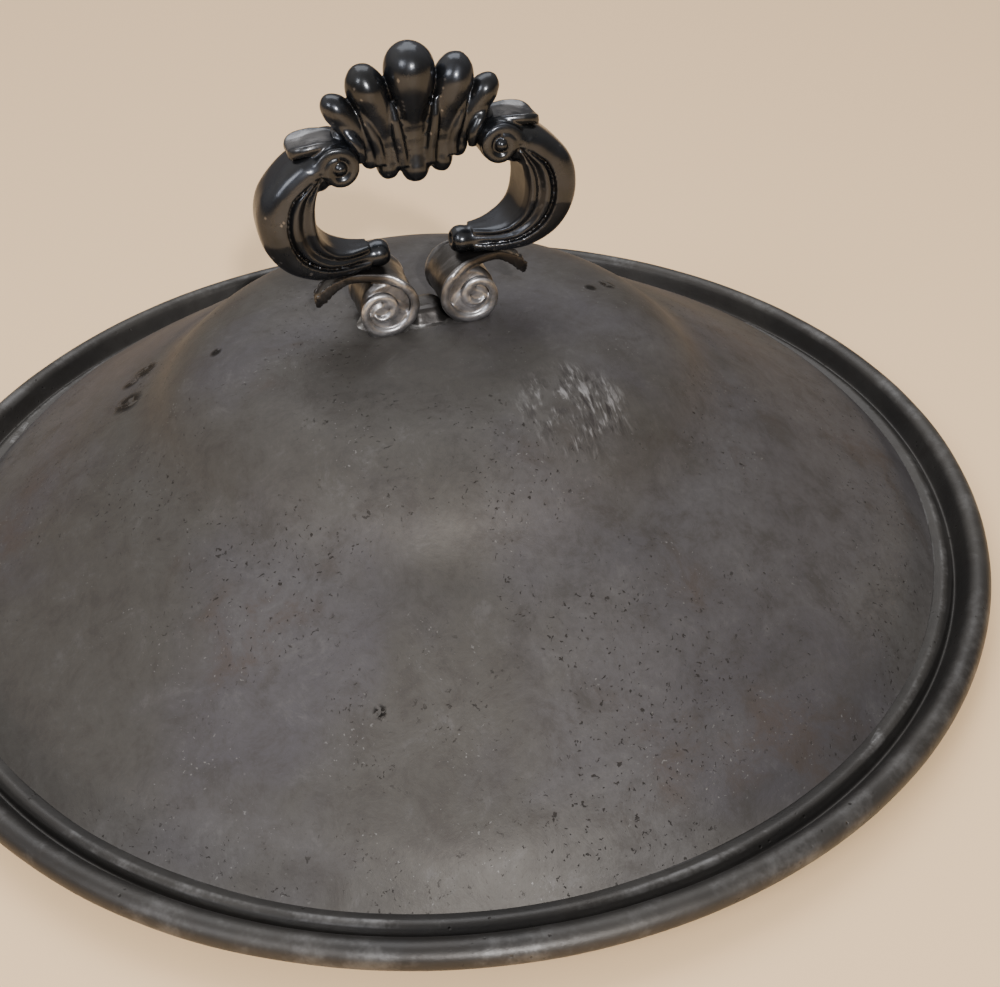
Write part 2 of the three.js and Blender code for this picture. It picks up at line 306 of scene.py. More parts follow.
# ---------------------------------------------------------------- materials
class Paint:
    """A small helper that wires a procedural metal."""

    def __init__(self, name, metallic):
        self.material = bpy.data.materials.new(name)
        self.material.use_nodes = True
        self.tree = self.material.node_tree
        self.shader = self.tree.nodes["Principled BSDF"]
        self.shader.inputs["Metallic"].default_value = metallic
        self.place = self.tree.nodes.new("ShaderNodeTexCoord").outputs["Object"]

    def link(self, out, into):
        self.tree.links.new(out, into)

    def stretched(self, scale):
        """Object coordinates scaled by a different amount along each axis."""
        node = self.tree.nodes.new("ShaderNodeMapping")
        node.inputs["Scale"].default_value = scale
        self.link(self.place, node.inputs["Vector"])
        return node.outputs["Vector"]

    def noise(self, scale, detail=4.0, roughness=0.55, distortion=0.0, place=None):
        node = self.tree.nodes.new("ShaderNodeTexNoise")
        node.inputs["Scale"].default_value = scale
        node.inputs["Detail"].default_value = detail
        node.inputs["Roughness"].default_value = roughness
        node.inputs["Distortion"].default_value = distortion
        self.link(place or self.place, node.inputs["Vector"])
        return node.outputs["Fac"]

    def cells(self, scale):
        node = self.tree.nodes.new("ShaderNodeTexVoronoi")
        node.inputs["Scale"].default_value = scale
        self.link(self.place, node.inputs["Vector"])
        return node.outputs["Distance"]

    def near(self, place, size, mirrored=False):
        """1 near a place, fading to 0 by 1.6 times size mm; mirrored counts both sides of the handle."""
        point = self.place
        if mirrored:
            point = self.vector("ABSOLUTE", point)
        offset = self.vector("SUBTRACT", point, tuple(c * MM for c in place))
        length = self.vector("LENGTH", offset)
        return self.ramp(length, size * 1.6 * MM, size * 0.7 * MM)

    def across(self):
        """Distance from the handle's middle plane, front or back."""
        node = self.tree.nodes.new("ShaderNodeSeparateXYZ")
        self.link(self.vector("ABSOLUTE", self.place), node.inputs["Vector"])
        return node.outputs["Y"]

    def opening_shade(self):
        """1 on faces that look towards the handle's opening, where shade is painted, else 0."""
        place = self.tree.nodes.new("ShaderNodeSeparateXYZ")
        facing = self.tree.nodes.new("ShaderNodeSeparateXYZ")
        self.link(self.place, place.inputs["Vector"])
        normal = self.tree.nodes.new("ShaderNodeNewGeometry").outputs["Normal"]
        self.link(normal, facing.inputs["Vector"])
        return self.ramp(self.math("MULTIPLY", place.outputs["X"], facing.outputs["X"]), -0.008, -0.016)

    def vector(self, operation, a, b=None):
        node = self.tree.nodes.new("ShaderNodeVectorMath")
        node.operation = operation
        self.link(a, node.inputs[0])
        if b is not None:
            node.inputs[1].default_value = b
        return node.outputs["Value" if operation == "LENGTH" else "Vector"]

    def ramp(self, value, low, high, start=0.0, end=1.0):
        """value between low and high becomes start to end, and is held outside."""
        node = self.tree.nodes.new("ShaderNodeMapRange")
        node.interpolation_type = "SMOOTHSTEP"
        for name, number in (("From Min", low), ("From Max", high), ("To Min", start), ("To Max", end)):
            node.inputs[name].default_value = number
        self.link(value, node.inputs["Value"])
        return node.outputs["Result"]

    def math(self, operation, a, b):
        node = self.tree.nodes.new("ShaderNodeMath")
        node.operation = operation
        for socket, value in zip(node.inputs, (a, b)):
            if isinstance(value, (int, float)):
                socket.default_value = value
            else:
                self.link(value, socket)
        return node.outputs["Value"]

    def mix(self, factor, a, b):
        """Mixes two colours, each a tuple or a socket."""
        node = self.tree.nodes.new("ShaderNodeMix")
        node.data_type = "RGBA"
        self.link(factor, node.inputs["Factor"])
        colours = [socket for socket in node.inputs if socket.type == "RGBA"]
        for socket, value in zip(colours, (a, b)):
            if isinstance(value, tuple):
                socket.default_value = (*value, 1.0)
            else:
                self.link(value, socket)
        return next(socket for socket in node.outputs if socket.type == "RGBA")

    def bump(self, *layers):
        """Chains height fields into one bump: (height, depth in mm) per layer."""
        normal = None
        for height, depth in layers:
            node = self.tree.nodes.new("ShaderNodeBump")
            node.inputs["Strength"].default_value = 1.0
            node.inputs["Distance"].default_value = depth * MM
            self.link(height, node.inputs["Height"])
            if normal is not None:
                self.link(normal, node.inputs["Normal"])
            normal = node.outputs["Normal"]
        self.link(normal, self.shader.inputs["Normal"])

    def edges(self, low, high):
        """0 on flat metal and 1 on sharp convex edges."""
        point = self.tree.nodes.new("ShaderNodeNewGeometry").outputs["Pointiness"]
        return self.ramp(point, low, high)

    def finish(self, colour, roughness):
        self.link(colour, self.shader.inputs["Base Color"])
        self.link(roughness, self.shader.inputs["Roughness"])
        return self.material


def spun_metal():
    """Tarnished sheet: mottled olive and violet grey, with pits, crusts, flecks and a scoured patch."""
    paint = Paint("spun_metal", 0.48)
    paint.shader.inputs["Specular IOR Level"].default_value = 0.3
    paint.shader.inputs["Specular Tint"].default_value = (0.5, 0.5, 0.53, 1)
    cloud = paint.noise(15, 5, 0.62, 0.2)
    tint = paint.noise(11, 4, 0.6, 0.3)
    grain = paint.noise(520, 6, 0.75)
    mottle = paint.noise(95, 7, 0.78, 0.35)
    colour = paint.mix(paint.ramp(tint, 0.42, 0.58), (0.078, 0.074, 0.069), (0.075, 0.071, 0.077))
    colour = paint.mix(paint.ramp(cloud, 0.4, 0.66, 0.0, 0.5), colour, (0.112, 0.108, 0.109))
    colour = paint.mix(paint.ramp(mottle, 0.45, 0.68, 0.0, 0.75), colour, (0.056, 0.051, 0.048))
    colour = paint.mix(paint.ramp(mottle, 0.46, 0.32, 0.0, 0.45), colour, (0.122, 0.118, 0.119))
    colour = paint.mix(paint.ramp(grain, 0.4, 0.7, 0.0, 0.4), colour, (0.060, 0.057, 0.055))
    rust = paint.ramp(paint.noise(24, 4, 0.6), 0.58, 0.7, 0.0, 0.35)
    rust = paint.math("MULTIPLY", rust, paint.ramp(mottle, 0.4, 0.6))
    colour = paint.mix(rust, colour, (0.092, 0.070, 0.060))
    patchy = paint.ramp(paint.noise(28, 4, 0.65), 0.46, 0.6)
    pits = paint.math("MULTIPLY", paint.ramp(paint.noise(900, 3, 0.6, 0.4), 0.64, 0.68), patchy)
    flecks = paint.ramp(paint.noise(1300, 2, 0.5, 0.3), 0.69, 0.72)
    flecks = paint.math("MULTIPLY", flecks, paint.ramp(paint.noise(50, 3), 0.5, 0.6))
    colour = paint.mix(pits, colour, (0.034, 0.031, 0.029))
    colour = paint.mix(flecks, colour, (0.15, 0.147, 0.145))
    crust_noise = paint.noise(300, 5, 0.7, 0.8)
    crust = None
    for place, size in CRUSTS:
        edge = paint.math("MULTIPLY", paint.near(place, size), paint.ramp(crust_noise, 0.42, 0.49))
        crust = edge if crust is None else paint.math("MAXIMUM", crust, edge)
    colour = paint.mix(crust, colour, (0.010, 0.009, 0.008))
    streaks = paint.noise(1.0, 4, 0.62, 0.3, paint.stretched((900, 210, 210)))
    scoured = paint.ramp(paint.noise(110, 3, 0.6), 0.36, 0.54)
    scoured = paint.math("MULTIPLY", paint.near(*SCOUR), scoured)
    bright = paint.math("MULTIPLY", scoured, paint.ramp(streaks, 0.5, 0.68))
    dark = paint.math("MULTIPLY", scoured, paint.ramp(streaks, 0.5, 0.38))
    colour = paint.mix(bright, colour, (0.25, 0.245, 0.25))
    colour = paint.mix(dark, colour, (0.040, 0.036, 0.036))
    rough = paint.math("ADD", paint.ramp(cloud, 0.3, 0.7, 0.49, 0.6), paint.math("MULTIPLY", pits, 0.15))
    relief = paint.math("MULTIPLY", scoured, streaks)
    paint.bump((grain, 0.04), (mottle, 0.14), (pits, -0.15), (crust, 0.25), (relief, 0.25))
    return paint.finish(colour, rough)


def rim_metal():
    """The same tarnish on the moulding, with bright sharp edges along the ridge and the bead: partly
    worn metal, partly a painted glint.
    """
    paint = Paint("rim_metal", 0.8)
    cloud = paint.noise(18, 5, 0.6, 0.3)
    grain = paint.noise(500, 6, 0.7)
    mottle = paint.noise(110, 6, 0.72, 0.6)
    colour = paint.mix(paint.ramp(cloud, 0.35, 0.65), (0.047, 0.046, 0.046), (0.069, 0.066, 0.063))
    colour = paint.mix(paint.ramp(mottle, 0.42, 0.68, 0.0, 0.6), colour, (0.045, 0.042, 0.040))
    # Bright convex edges, broken up by noise: partly worn metal, partly a painted highlight on the ridge
    # and the bead.
    wear_and_glint = paint.ramp(paint.noise(60, 5, 0.75), 0.46, 0.66)
    wear_and_glint = paint.math("MULTIPLY", paint.edges(0.504, 0.525), wear_and_glint)
    colour = paint.mix(wear_and_glint, colour, (0.23, 0.23, 0.235))
    pits = paint.ramp(paint.cells(480), 0.18, 0.06)
    pits = paint.math("MULTIPLY", pits, paint.ramp(paint.noise(40, 3), 0.5, 0.6))
    colour = paint.mix(pits, colour, (0.03, 0.028, 0.027))
    rough = paint.ramp(cloud, 0.3, 0.7, 0.42, 0.55)
    paint.bump((grain, 0.05), (mottle, 0.12), (pits, -0.12))
    return paint.finish(colour, rough)


def cast_metal():
    """Dark casting: near black in the hollows, with painted shade on faces that look into the handle's
    opening, and a little polished on what fingers touch.
    """
    paint = Paint("cast_metal", 0.85)
    cloud = paint.noise(70, 4, 0.6, 0.5)
    grain = paint.noise(900, 5, 0.65)
    colour = paint.mix(paint.ramp(cloud, 0.35, 0.65), (0.028, 0.030, 0.033), (0.037, 0.041, 0.050))
    colour = paint.mix(paint.edges(0.53, 0.62), colour, (0.15, 0.147, 0.15))
    colour = paint.mix(paint.edges(0.47, 0.42), colour, (0.016, 0.014, 0.013))
    worn = paint.ramp(paint.noise(160, 4, 0.65), 0.42, 0.6)
    worn = paint.math("MULTIPLY", paint.near((24, 0, 110.6), 5.0, True), worn)
    colour = paint.mix(paint.math("MULTIPLY", worn, 0.8), colour, (0.20, 0.197, 0.20))
    opening_shade = paint.opening_shade()
    # Painted shade: faces that look into the handle's opening are darkened towards near black, and the
    # same mask makes them rougher.
    colour = paint.mix(paint.math("MULTIPLY", opening_shade, 0.75), colour, (0.014, 0.013, 0.013))
    rough = paint.ramp(paint.noise(120, 4), 0.35, 0.65, 0.25, 0.34)
    rough = paint.math("ADD", rough, paint.math("MULTIPLY", opening_shade, 0.3))
    paint.shader.inputs["Specular Tint"].default_value = (0.32, 0.34, 0.4, 1)
    paint.shader.inputs["Coat Weight"].default_value = 0.45
    paint.shader.inputs["Coat Roughness"].default_value = 0.18
    paint.bump((grain, 0.02), (paint.noise(220, 3), 0.06))
    return paint.finish(colour, rough)


def foot_metal():
    """The foot scrolls: the same casting, worn to silver grey on its faces and edges."""
    paint = Paint("foot_metal", 0.9)
    cloud = paint.noise(110, 5, 0.65, 0.6)
    grain = paint.noise(700, 5, 0.65)
    silver = paint.mix(paint.ramp(cloud, 0.38, 0.62), (0.23, 0.23, 0.24), (0.62, 0.62, 0.65))
    silver = paint.mix(paint.edges(0.52, 0.58), silver, (0.76, 0.755, 0.76))
    dark = paint.mix(paint.ramp(cloud, 0.45, 0.65), (0.050, 0.047, 0.046), (0.12, 0.117, 0.118))
    face = paint.ramp(paint.across(), 5.6 * MM, 7.4 * MM)
    face = paint.math("MULTIPLY", face, paint.near((11.5, 0, 68), 9.5, True))
    colour = paint.mix(face, dark, silver)
    colour = paint.mix(paint.edges(0.49, 0.44), colour, (0.030, 0.027, 0.025))
    rough = paint.ramp(cloud, 0.35, 0.65, 0.40, 0.28)
    paint.bump((grain, 0.03), (paint.noise(260, 3), 0.12))
    return paint.finish(colour, rough)


def solder_metal():
    """Solder: grey, lumpy, bright where it was wiped."""
    paint = Paint("solder", 0.9)
    cloud = paint.noise(150, 4, 0.6)
    colour = paint.mix(paint.ramp(cloud, 0.48, 0.7), (0.100, 0.095, 0.092), (0.42, 0.415, 0.41))
    rough = paint.ramp(cloud, 0.4, 0.65, 0.45, 0.25)
    paint.bump((paint.noise(320, 4), 0.25))
    return paint.finish(colour, rough)


def iron_metal():
    """The fixings inside: dark iron with a bloom of rust."""
    paint = Paint("iron_fixing", 0.8)
    rust = paint.ramp(paint.noise(220, 5, 0.7), 0.5, 0.62)
    colour = paint.mix(rust, (0.13, 0.12, 0.11), (0.17, 0.075, 0.035))
    rough = paint.ramp(rust, 0.0, 1.0, 0.45, 0.8)
    paint.bump((paint.noise(600, 4), 0.06))
    return paint.finish(colour, rough)


def floor_paint():
    """A plain pale matt table top."""
    material = bpy.data.materials.new("floor")
    material.use_nodes = True
    shader = material.node_tree.nodes["Principled BSDF"]
    shader.inputs["Base Color"].default_value = (0.94, 0.665, 0.385, 1)
    shader.inputs["Roughness"].default_value = 0.6
    return material


SPUN, RIM, CAST, FOOTING = spun_metal(), rim_metal(), cast_metal(), foot_metal()
SOLDER, IRON, FLOOR = solder_metal(), iron_metal(), floor_paint()


# ---------------------------------------------------------------- dome, rim and bezel
def crown_height(r):
    """Height of the crown's outside at a radius."""
    return WAIST[1] + (CROWN_TOP - WAIST[1]) * (1 - (r / WAIST[0]) ** CROWN_POWER)


def inner_face(outside):
    """The open outline of outer points, offset inward by the wall."""
    tangent = np.gradient(outside, axis=0)
    tangent /= np.linalg.norm(tangent, axis=1)[:, None]
    return outside + WALL * np.stack([-tangent[:, 1], tangent[:, 0]], axis=1)


def dome():
    """Crown and skirt as one fine sheet, with a soft trough between them."""
    share = np.sin(np.linspace(0.2, np.pi / 2, 40)) ** 0.6
    crown = 64 * share[::-1]
    skirt = [SHELL_FOOT, (119, 13.7), (105, 22.2), (91, 31), (84, 35.2)]
    trough = [(78.6, 38.1), (74.6, 40.0), (70.8, 42.4), (67.4, 45.3)]
    slope = through([*skirt, *trough, (64, crown_height(64)), (60.5, crown_height(60.5))], 110)
    slope = slope[slope[:, 0] > 64.2]
    outside = np.vstack([slope, np.stack([crown, crown_height(crown)], axis=1), [(0, CROWN_TOP)]])
    inside = inner_face(outside)
    inside[0] = (SHELL_FOOT[0] - WALL, SHELL_FOOT[1])
    inside[:, 0] = np.maximum(inside[:, 0], 0)
    inside[-1] = (0, CROWN_TOP - WALL)
    return lathe("dome", np.vstack([inside[::-1], outside]), 300)


def rim():
    """Ridge, channel and the edge rolled over the wire."""
    ledge = BEZEL_TOP + GAP
    centre = (BEAD["r"], BEAD["z"])
    outline = np.vstack(
        [
            [(BEZEL_INNER + 0.6, ledge), (BEAD["r"] - BEAD["radius"] - 0.6, ledge)],
            arc(centre, BEAD["radius"] - BEAD["sheet"], 168, -128, 24),
            arc(centre, BEAD["radius"], -128, 158, 36),
            through([*arc(centre, BEAD["radius"], 158, 166, 1)[1:], CHANNEL, *RIDGE], 30)[1:],
            [(SHELL_FOOT[0] - 1.6, ledge + BEAD["sheet"]), (BEZEL_INNER + 0.6, ledge + BEAD["sheet"])],
        ]
    )
    return lathe("rim", outline, 320)


dome_piece = dome()
weather(dome_piece, [(60, 0.25), (22, 0.12), (9, 0.04)])
settle(dome_piece, SPUN, "spun_metal", "crown", "skirt")

rim_piece = rim()
weather(rim_piece, [(40, 0.12), (12, 0.06)])
settle(rim_piece, RIM, "rim_metal", "rim_moulding")

for node in ("locating_bezel", "crown_stiffener", "rim_wire"):
    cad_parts[node].data.shade_smooth()


# ---------------------------------------------------------------- handle: crest
# Each lobe runs up from its drop to its bulb, drawn as (x, height, radius).
CENTRE_LOBE = [(0, 34.8, 0.5), (0, 35.4, 2.2), (0, 37.8, 3.35), (0, 40.4, 3.0), (0, 42.6, 2.55)]
CENTRE_LOBE += [(0, 45.6, 2.55), (0, 49, 2.95), (0, 52.6, 4.1), (0, 56.5, 5.3), (0, 60.1, 5.6)]
CENTRE_LOBE += [(0, 63, 4.75), (0, 64.9, 2.9), (0, 65.8, 0.7)]
MID_LOBE = [(5.8, 36.2, 0.5), (5.9, 36.8, 1.8), (6.1, 38.8, 2.65), (6.2, 41, 2.4), (6.3, 43.4, 2.2)]
MID_LOBE += [(6.7, 46, 2.5), (7.4, 49.4, 3.3), (8.5, 53.3, 4.1), (9.9, 57.2, 4.45), (11, 60, 3.4)]
MID_LOBE += [(11.6, 61.3, 2.0), (11.9, 61.9, 0.5)]
OUTER_LOBE = [(10.1, 39, 0.4), (10.1, 39.7, 1.5), (10.2, 41.4, 2.15), (10.5, 43.3, 2.0), (11.1, 45, 2.2)]
OUTER_LOBE += [(12.4, 47.2, 2.6), (14.3, 50, 3.0), (16.6, 53.2, 3.2), (18.1, 54.9, 2.5)]
OUTER_LOBE += [(18.9, 55.8, 1.5), (19.3, 56.2, 0.4)]

# Raised strands between the lobes, front and back, as points (x, y, height) and the radii along them.
STRANDS = [
    (
        [(4.9, 2.8, 54), (4.5, 3.2, 50), (4.0, 3.0, 46.5), (3.4, 2.6, 42.5), (3.2, 2.2, 39.6)],
        [0.3, 1.0, 1.25, 1.15, 1.35],
    ),
    (
        [(11.8, 2.6, 53), (10.4, 2.9, 49.5), (9.1, 2.7, 46), (8.4, 2.3, 43), (8.3, 2.0, 40.6)],
        [0.3, 0.95, 1.2, 1.1, 1.3],
    ),
    ([(16.4, 2.2, 50), (14.3, 3.2, 47.2), (12.9, 3.4, 44.6), (12.7, 3.1, 42.0)], [0.7, 1.4, 1.5, 0.9]),
]


def pod(marks, depth=1.12, turns=36):
    """A round body along a path of (x, height, radius), deepened across the handle."""
    marks = through(marks, 56)
    tangent = np.gradient(marks[:, :2], axis=0)
    tangent /= np.linalg.norm(tangent, axis=1)[:, None]
    angle = np.linspace(0, 2 * np.pi, turns, endpoint=False)
    rings = []
    for (x, high, radius), (dx, dh) in zip(marks, tangent):
        radius = max(radius, 0.1)
        flat = np.array([x, high]) + np.outer(radius * np.cos(angle), [dh, -dx])
        rings.append(np.stack([flat[:, 0], radius * depth * np.sin(angle), flat[:, 1]], axis=1))
    return loft(rings)


def crest():
    """The fan of five lobes, joined by a web and by strands between them."""
    clay = Clay((-23, -8.5, 32), (23, 8.5, 68), 0.26)
    clay.add(pod(CENTRE_LOBE))
    for side in (-1, 1):
        clay.add(pod(MID_LOBE), 0.45, side)
        clay.add(pod(OUTER_LOBE), 0.45, side)
    for height, half in ((40.2, 6.8), (42.6, 9.8), (45.4, 11.5), (48.4, 12.5), (51.4, 12.5)):
        clay.add(strand([(-half, 0, height), (0, 0, height), (half, 0, height)], [2.0, 2.7, 2.0]), 0.9)
    for points, radii in STRANDS:
        for side in (-1, 1):
            for face in (-1, 1):
                clay.add(strand([(x, y * face, high) for x, y, high in points], radii), 0.9, side)
    for side in (-1, 1):
        clay.add(strand([(12, 0, 46.6), (15, 0, 46.8), (18, 0, 46.4)], [2.4, 2.6, 2.4]), 0.8, side)
    return clay.skin("crest", CROWN_TOP)


# ---------------------------------------------------------------- handle: arms
ARM_OUTER = [(14.6, 46.2), (18.6, 47.2), (23.2, 46.6), (27.8, 44.6), (32.4, 41), (36.1, 36.3)]
ARM_OUTER += [(37.3, 30.8), (36.2, 24.5), (32.6, 19.2), (26.6, 16.0), (20, 15.0), (12.4, 15.1)]
ARM_INNER = [(15.6, 42.4), (19.2, 41.6), (22.2, 40.6), (23.6, 37), (24.3, 33), (24.2, 29)]
ARM_INNER += [(23, 25.4), (20.4, 22.8), (16.8, 21.5), (12.4, 21.3)]


def arm():
    """Rings of the arm: a broad rounded back, then a groove and two soft ribs on the front and back."""
    steps = 100
    outer, inner = through(ARM_OUTER, steps), through(ARM_INNER, steps)
    share = np.linspace(0, 1, steps + 1)
    half_depth = np.interp(share, [0, 0.1, 0.2, 0.55, 0.8, 1], [4.5, 6.4, 7.7, HALF_DEPTH, 6.4, 3.4])
    marks = [0, 0.16, 0.24, 0.34, 0.5, 0.8, 1]
    groove = np.interp(share, marks, [0.95, 0.9, 0.7, 0.52, 0.47, 0.44, 0.4])
    ribs = np.interp(share, [0, 0.17, 0.22, 0.86, 1], [0.0, 0.0, 1.0, 0.85, 0.4])
    outer_rib = [(0.0, -1.5), (0.05, -1.6), (0.14, -0.7), (0.25, 0.0), (0.38, -0.1), (0.49, -0.85)]
    inner_rib = [(0.57, -1.15), (0.66, -0.8), (0.78, -0.3), (0.88, -0.5), (0.95, -1.3), (1.0, -2.8)]
    panel = through(outer_rib + inner_rib, 48)
    rings = []
    for o, i, d, g, rib in zip(outer, inner, half_depth, groove, ribs):
        width = np.linalg.norm(i - o)
        across = (i - o) / width
        turn = np.linspace(0, np.pi / 2, 24)
        back = np.stack([g * width * (1 - np.cos(turn) ** 0.7), d * np.sin(turn) ** 0.6], axis=1)
        scale = min(1.0, d / 6)
        flat = d + scale * (panel[:, 1] * rib - 1.9 * (1 - rib))
        front = np.stack([width * (g + (1 - g) * panel[:, 0]), np.maximum(flat, 0.5)], axis=1)
        near = np.vstack([back, front])
        section = np.vstack([near * [1, -1], near[::-1][:-1]])
        ring = o + np.outer(section[:, 0], across)
        rings.append(np.stack([ring[:, 0], section[:, 1], ring[:, 1]], axis=1))
    return loft(rings)


def ear():
    """A leaf flicked out over the scroll: blunt, dished on top, with a thick rolled lip."""
    x = np.array([13.6, 16.2, 19, 22, 24.8, 26.8, 28.0, 28.5])
    top = np.array([46.0, 47.4, 48.2, 48.4, 48.2, 47.8, 47.1, 46.4])
    half = np.array([1.8, 3.4, 4.8, 5.6, 5.7, 5.2, 4.2, 2.6])
    thick = np.array([2.4, 2.0, 1.7, 1.6, 1.6, 1.6, 1.4, 0.8])
    marks = through(np.stack([x, top, half, thick], axis=1), 40)
    y = np.array([-1, -0.98, -0.92, -0.84, -0.7, -0.5, -0.25, 0, 0.25, 0.5, 0.7, 0.84, 0.92, 0.98, 1])
    dish = np.array([-1.5, -0.9, -0.35, -0.2, -0.55, -0.95, -1.15, -1.2])
    dish = np.concatenate([dish, dish[-2::-1]])
    rings = []
    for (at, high, width, depth), share in zip(marks, np.linspace(0, 1, len(marks))):
        rolled = np.interp(share, [0, 0.15, 0.75, 0.92, 1], [0.5, 1, 1, 0.2, 0.2])
        edge = np.minimum(dish, -0.2) + 0.2
        top_face = high + np.where(np.abs(y) > 0.9, edge, edge * rolled)
        upper = np.stack([np.full(15, at), y * width, top_face], axis=1)
        lower = np.stack([np.full(15, at), y * width * 0.93, high - depth - 0.8 * y**2], axis=1)[::-1]
        rings.append(np.vstack([upper, lower]))
    return loft(rings)


def upper_scroll_path():
    """The upper volute, from the arm into its eye."""
    return spiral(UPPER_EYE, [0, 90, 180, 270, 360, 440], [4.2, 3.4, 3.4, 3.5, 2.5, 1.7], 90)


def half_handle(name, side):
    """Arm, upper scroll and ear of one side, cast together."""
    low, high = ((6, -9.5, 12), (39.5, 9.5, 51)) if side > 0 else ((-39.5, -9.5, 12), (-6, 9.5, 51))
    clay = Clay(low, high)
    clay.add(arm(), 0.3, side)
    clay.add(disc(UPPER_EYE, 4.2, 6.9, 1.4), 1.6, side)
    thickness, depth = ([0, 0.3, 1], [2.3, 1.9, 1.4]), ([0, 1], [7.3, 7.7])
    clay.add(band(upper_scroll_path(), thickness, depth, 0.0), 1.5, side)
    for face in (-1, 1):
        clay.add(ball((UPPER_EYE[0], 6.9 * face, UPPER_EYE[1]), (1.5, 1.7, 1.5)), 0.4, side)
    clay.add(ball((22.2, 0, 39.6), (2.7, 6.2, 3.2)), 1.6, side)
    clay.add(ear(), 0.5, side)
    clay.add(ball((20.5, 0, 46.3), (4.2, 4.6, 1.6)), 1.0, side)
    curl = [(16.5, 18.3, 3.0), (13.4, 18.2, 2.95), (11.6, 18.2, 3.0), (10, 18.3, 3.2)]
    curl += [(8.6, 18.4, 2.9), (7.6, 18.5, 2.0), (7.2, 18.5, 0.6)]
    clay.add(pod(curl, 1.1), 0.5, side)
    clay.cut(ball((6.7, 0, 18.9), (1.5, 1.7, 1.6)), 0.5, side)
    return clay.skin(name, CROWN_TOP)


# ---------------------------------------------------------------- handle: foot
def foot_path():
    """Leaf tip, over the scroll and round into its eye."""
    angles = [88, 180, 270, 360, 450, 540, 630, 690]
    turn = spiral(FOOT_EYE, angles, [7.7, 8.0, 5.9, 4.1, 3.5, 2.8, 1.9, 1.3], 130)
    leaf = through([(25.6, 6.9), (24.9, 9.0), (23.1, 11.1), (20.2, 13.0), (16.6, 14.3), turn[3]], 40)
    return np.vstack([leaf[:-1], turn[3:]])


def foot_scroll(name, side):
    """One foot's band, wound round a core, and its worn and pierced eye."""
    low, high = ((1.2, -9.5, -0.2), (28, 9.5, 17)) if side > 0 else ((-28, -9.5, -0.2), (-1.2, 9.5, 17))
    clay = Clay(low, high)
    thickness = ([0, 0.03, 0.06, 0.12, 0.25, 1], [0.8, 2.8, 2.7, 2.0, 1.9, 1.4])
    depth = ([0, 0.03, 0.12, 0.2, 0.28, 1], [0.8, 1.8, 3.0, 5.2, 7.9, 7.9])
    clay.add(band(foot_path(), thickness, depth, 0.15), 0.35, side)
    clay.add(disc(FOOT_EYE + [-1.6, 0.6], 6.4, 6.4, 1.0), 0.5, side)
    for face in (-1, 1):
        clay.cut(ball((FOOT_EYE[0] + 0.3, 7.4 * face, FOOT_EYE[1] - 0.3), (1.5, 3.2, 1.4)), 0.5, side)
        clay.add(ball((FOOT_EYE[0] - 1.5, 6.4 * face, FOOT_EYE[1] + 1.6), (1.3, 1.4, 1.2)), 0.5, side)
    clay.add(disc(FOOT_EYE + [-1.2, -3.6], 5.4, 7.0), 0.7, side)
    clay.cut(ball((FOOT_EYE[0], 0, -3.2), (12, 14, 3.0)), 0.2, side)
    return clay.skin(name, CROWN_TOP)


def oval_rings(levels, pinch, wobble=0.0, count=96):
    """Rings of a waisted oval, from (height, x half, y half) levels."""
    angle = np.linspace(0, 2 * np.pi, count, endpoint=False)
    cos, sin = np.cos(angle), np.sin(angle)
    waist = 1 - pinch * np.exp(-((cos * 2.6) ** 2))
    drift = np.array([noise.noise(Vector((2.2 * c, 2.2 * s, 5.0))) for c, s in zip(cos, sin)]) * wobble
    rings = []
    for height, wide, deep in levels:
        x = (wide + drift) * np.sign(cos) * np.abs(cos) ** 0.85
        y = (deep + drift) * waist * np.sign(sin) * np.abs(sin) ** 0.85
        rings.append(np.stack([x, y, np.full(count, height)], axis=1))
    return loft(rings)


def foot_plate():
    """The waisted plate and the low bridge that tie the two feet together."""
    clay = Clay((-19, -11, -0.3), (19, 11, 9), 0.3)
    pad = [(-0.2, 15, 6.4), (0.3, 14.7, 6.1), (0.6, 14.2, 5.6), (0.8, 13.4, 4.8), (0.85, 12.4, 4)]
    clay.add(oval_rings(pad, 0.2), 0.3)
    bridge = [(0.2, 6.4, 6.8), (0.9, 5.4, 6.2), (1.8, 5.0, 5.4), (2.7, 4.7, 4.6), (3.3, 4.1, 3.9)]
    bridge += [(3.6, 2.6, 2.6)]
    clay.add(oval_rings(bridge, 0.1), 1.0)
    return clay.skin("foot_plate", CROWN_TOP)


def solder_fillet():
    """An uneven run of solder where the foot meets the crown."""
    clay = Clay((-21, -14, -1.2), (21, 14, 3.2), 0.3)
    levels = [(-0.6, 17.2, 9.3), (-0.1, 16.8, 8.9), (0.1, 16.3, 8.4), (0.35, 15.6, 7.8)]
    levels += [(0.55, 14.9, 7.1), (0.65, 14, 6.2)]
    clay.add(oval_rings(levels, 0.2, 1.3, 132), 0.3)
    return clay.skin("solder_fillet", CROWN_TOP)


crest_piece = crest()
weather(crest_piece, [(7, 0.08), (2.5, 0.03)])
settle(
    crest_piece,
    CAST,
    "cast_metal",
    "crest_lobe_centre",
    "crest_lobe_mid_left",
    "crest_lobe_mid_right",
    "crest_lobe_outer_left",
    "crest_lobe_outer_right",
)

for label, side in SIDES:
    piece = half_handle(f"arm_{label}", side)
    weather(piece, [(7, 0.08), (2.5, 0.03)])
    nodes = ("arm_outer_band", "arm_rib", "arm_inner_band", "arm_curl", "upper_scroll", "ear_leaf")
    settle(piece, CAST, "cast_metal", *(f"{node}_{label}" for node in nodes))
    piece = foot_scroll(f"foot_{label}", side)
    weather(piece, [(5, 0.1), (2, 0.04)])
    nodes = ("foot_scroll", "foot_eye", "leaf_drop")
    settle(piece, FOOTING, "foot_metal", *(f"{node}_{label}" for node in nodes))

